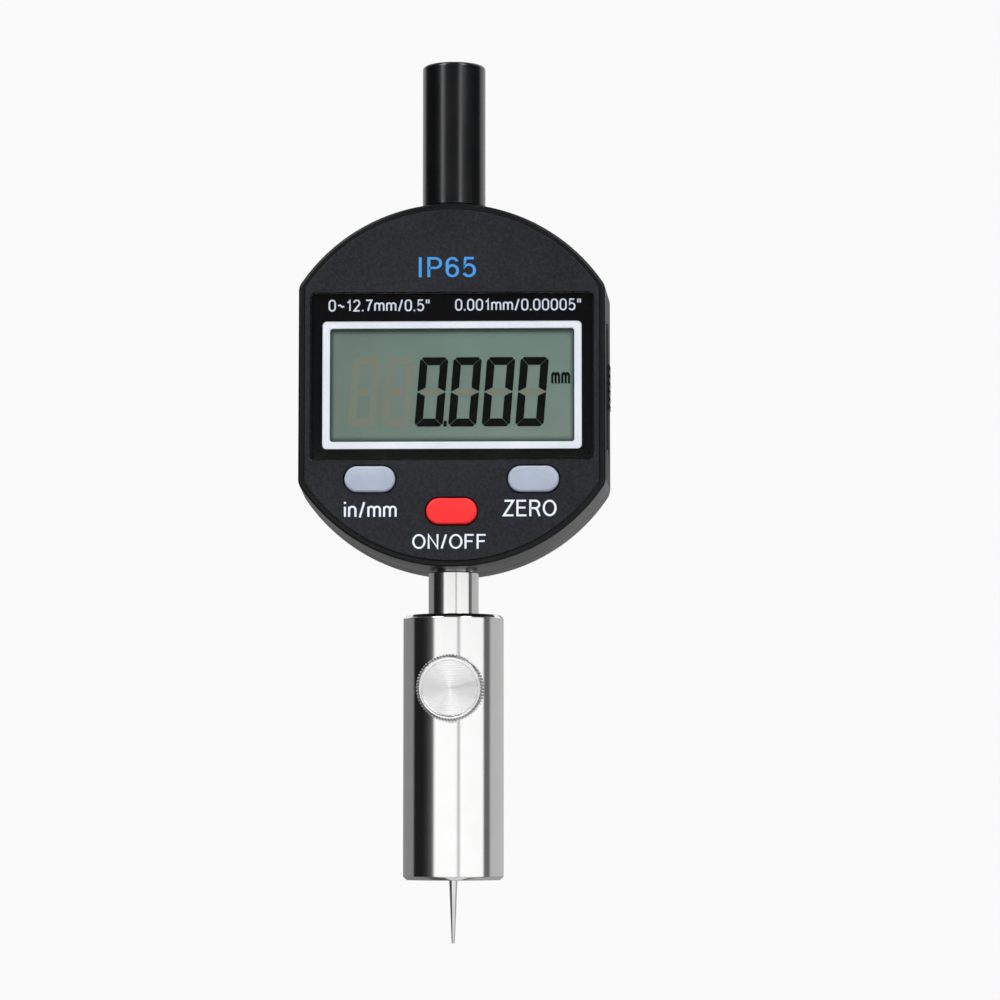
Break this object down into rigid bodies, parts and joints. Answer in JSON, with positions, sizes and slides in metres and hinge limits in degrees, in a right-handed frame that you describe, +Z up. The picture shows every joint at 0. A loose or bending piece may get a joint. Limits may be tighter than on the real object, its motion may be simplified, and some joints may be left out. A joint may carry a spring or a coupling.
{
  "type": "digital dial indicator",
  "caption": "Digital indicator with a round flat-sided case, display, three push buttons, stem, clamped depth foot, knurled screw and needle point.",
  "frame": {"origin": "centre of the foot barrel's flat lower face, on the spindle axis", "axes": "+Z up along the spindle, display facing -Y, +X to the viewer's right"},
  "size_m": [0.0503, 0.038, 0.1408],
  "materials": {
    "shell_black": "moulded, fine texture",
    "plate_film": "fine textured film",
    "clear_acrylic": "clear, glossy",
    "mask_print": "printed black",
    "frame_white": "smooth",
    "lcd_glass": "satin polarizer",
    "rubber_black": "matt",
    "board_green": "solder mask",
    "chip_black": "moulded",
    "copper": "tinned",
    "board_scale": "etched laminate",
    "polished_steel": "polished",
    "turned_steel": "turned face, knurled edge",
    "zinc_steel": "zinc plated",
    "brass": "turned",
    "inner_plastic": "moulded",
    "cap_anodised": "satin black anodised",
    "key_grey": "satin",
    "key_red": "satin",
    "plunger_dark": "moulded",
    "drawer_black": "moulded, fine texture",
    "cell_nickel": "nickel plated"
  },
  "bodies": {
    "instrument": {"back_cover": "shell_black", "battery_contact_minus": "copper", "battery_contact_plus": "copper", "board_parts": "chip_black", "board_screws": "zinc_steel", "cap_seal": "rubber_black", "capacitive_stator": "copper", "controller_chip": "chip_black", "cover_gasket": "rubber_black", "cover_screws": "zinc_steel", "display_frame": "frame_white", "display_lens": "clear_acrylic", "face_plate": "plate_film", "front_housing": "shell_black", "guide_clip": "inner_plastic", "guide_rod": "zinc_steel", "lcd_front_glass": "lcd_glass", "lcd_rear_glass": "lcd_glass", "lens_mask": "mask_print", "main_board": "board_green", "spring_post": "inner_plastic", "stem_bushing": "polished_steel", "stem_wiper": "rubber_black", "tactile_switches": "chip_black", "top_cap": "cap_anodised", "upper_bushing": "brass", "zebra_strips": "rubber_black"},
    "spindle_group": {"spindle": "polished_steel", "contact_needle": "polished_steel", "slider_carriage": "inner_plastic", "carriage_screw": "zinc_steel", "moving_scale": "board_scale", "return_spring": "zinc_steel"},
    "units_key": {"units_button": "key_grey", "units_plunger": "plunger_dark"},
    "zero_key": {"zero_button": "key_grey", "zero_plunger": "plunger_dark"},
    "power_key": {"power_button": "key_red", "power_plunger": "plunger_dark"},
    "drawer": {"battery_drawer": "drawer_black", "drawer_seal": "rubber_black", "battery_cell": "cell_nickel"},
    "foot": {"foot_barrel": "polished_steel"},
    "pad": {"clamp_pad": "brass"},
    "screw": {"clamp_screw": "turned_steel"}
  },
  "joints": [
    {"name": "spindle_slide", "type": "slide", "parent": "instrument", "child": "spindle_group", "axis": [0, 0, 1], "range_m": [0, 0.0127], "stiffness_N_per_m": 60, "springref_m": -0.012, "deforming": ["return_spring"]},
    {"name": "units_press", "type": "slide", "parent": "instrument", "child": "units_key", "axis": [0, 1, 0], "range_m": [0, 0.0003], "stiffness_N_per_m": 1000, "springref_m": -0.0005},
    {"name": "zero_press", "type": "slide", "parent": "instrument", "child": "zero_key", "axis": [0, 1, 0], "range_m": [0, 0.0003], "stiffness_N_per_m": 1000, "springref_m": -0.0005},
    {"name": "power_press", "type": "slide", "parent": "instrument", "child": "power_key", "axis": [0, 1, 0], "range_m": [0, 0.0003], "stiffness_N_per_m": 1000, "springref_m": -0.0005},
    {"name": "drawer_slide", "type": "slide", "parent": "instrument", "child": "drawer", "axis": [1, 0, 0], "range_m": [0, 0.014]},
    {"name": "foot_slide", "type": "slide", "parent": "instrument", "child": "foot", "axis": [0, 0, 1], "range_m": [-0.004, 0.006]},
    {"name": "pad_travel", "type": "slide", "parent": "foot", "child": "pad", "axis": [0, -1, 0], "range_m": [0, 0.0014]},
    {"name": "screw_turn", "type": "hinge", "parent": "pad", "child": "screw", "pos_m": [0, 0, 0.03], "axis": [0, -1, 0], "range_deg": [0, 720]}
  ],
  "couplings": [
    {"joint": "screw_turn", "follows": "pad_travel", "rad_per_m": 8976}
  ]
}
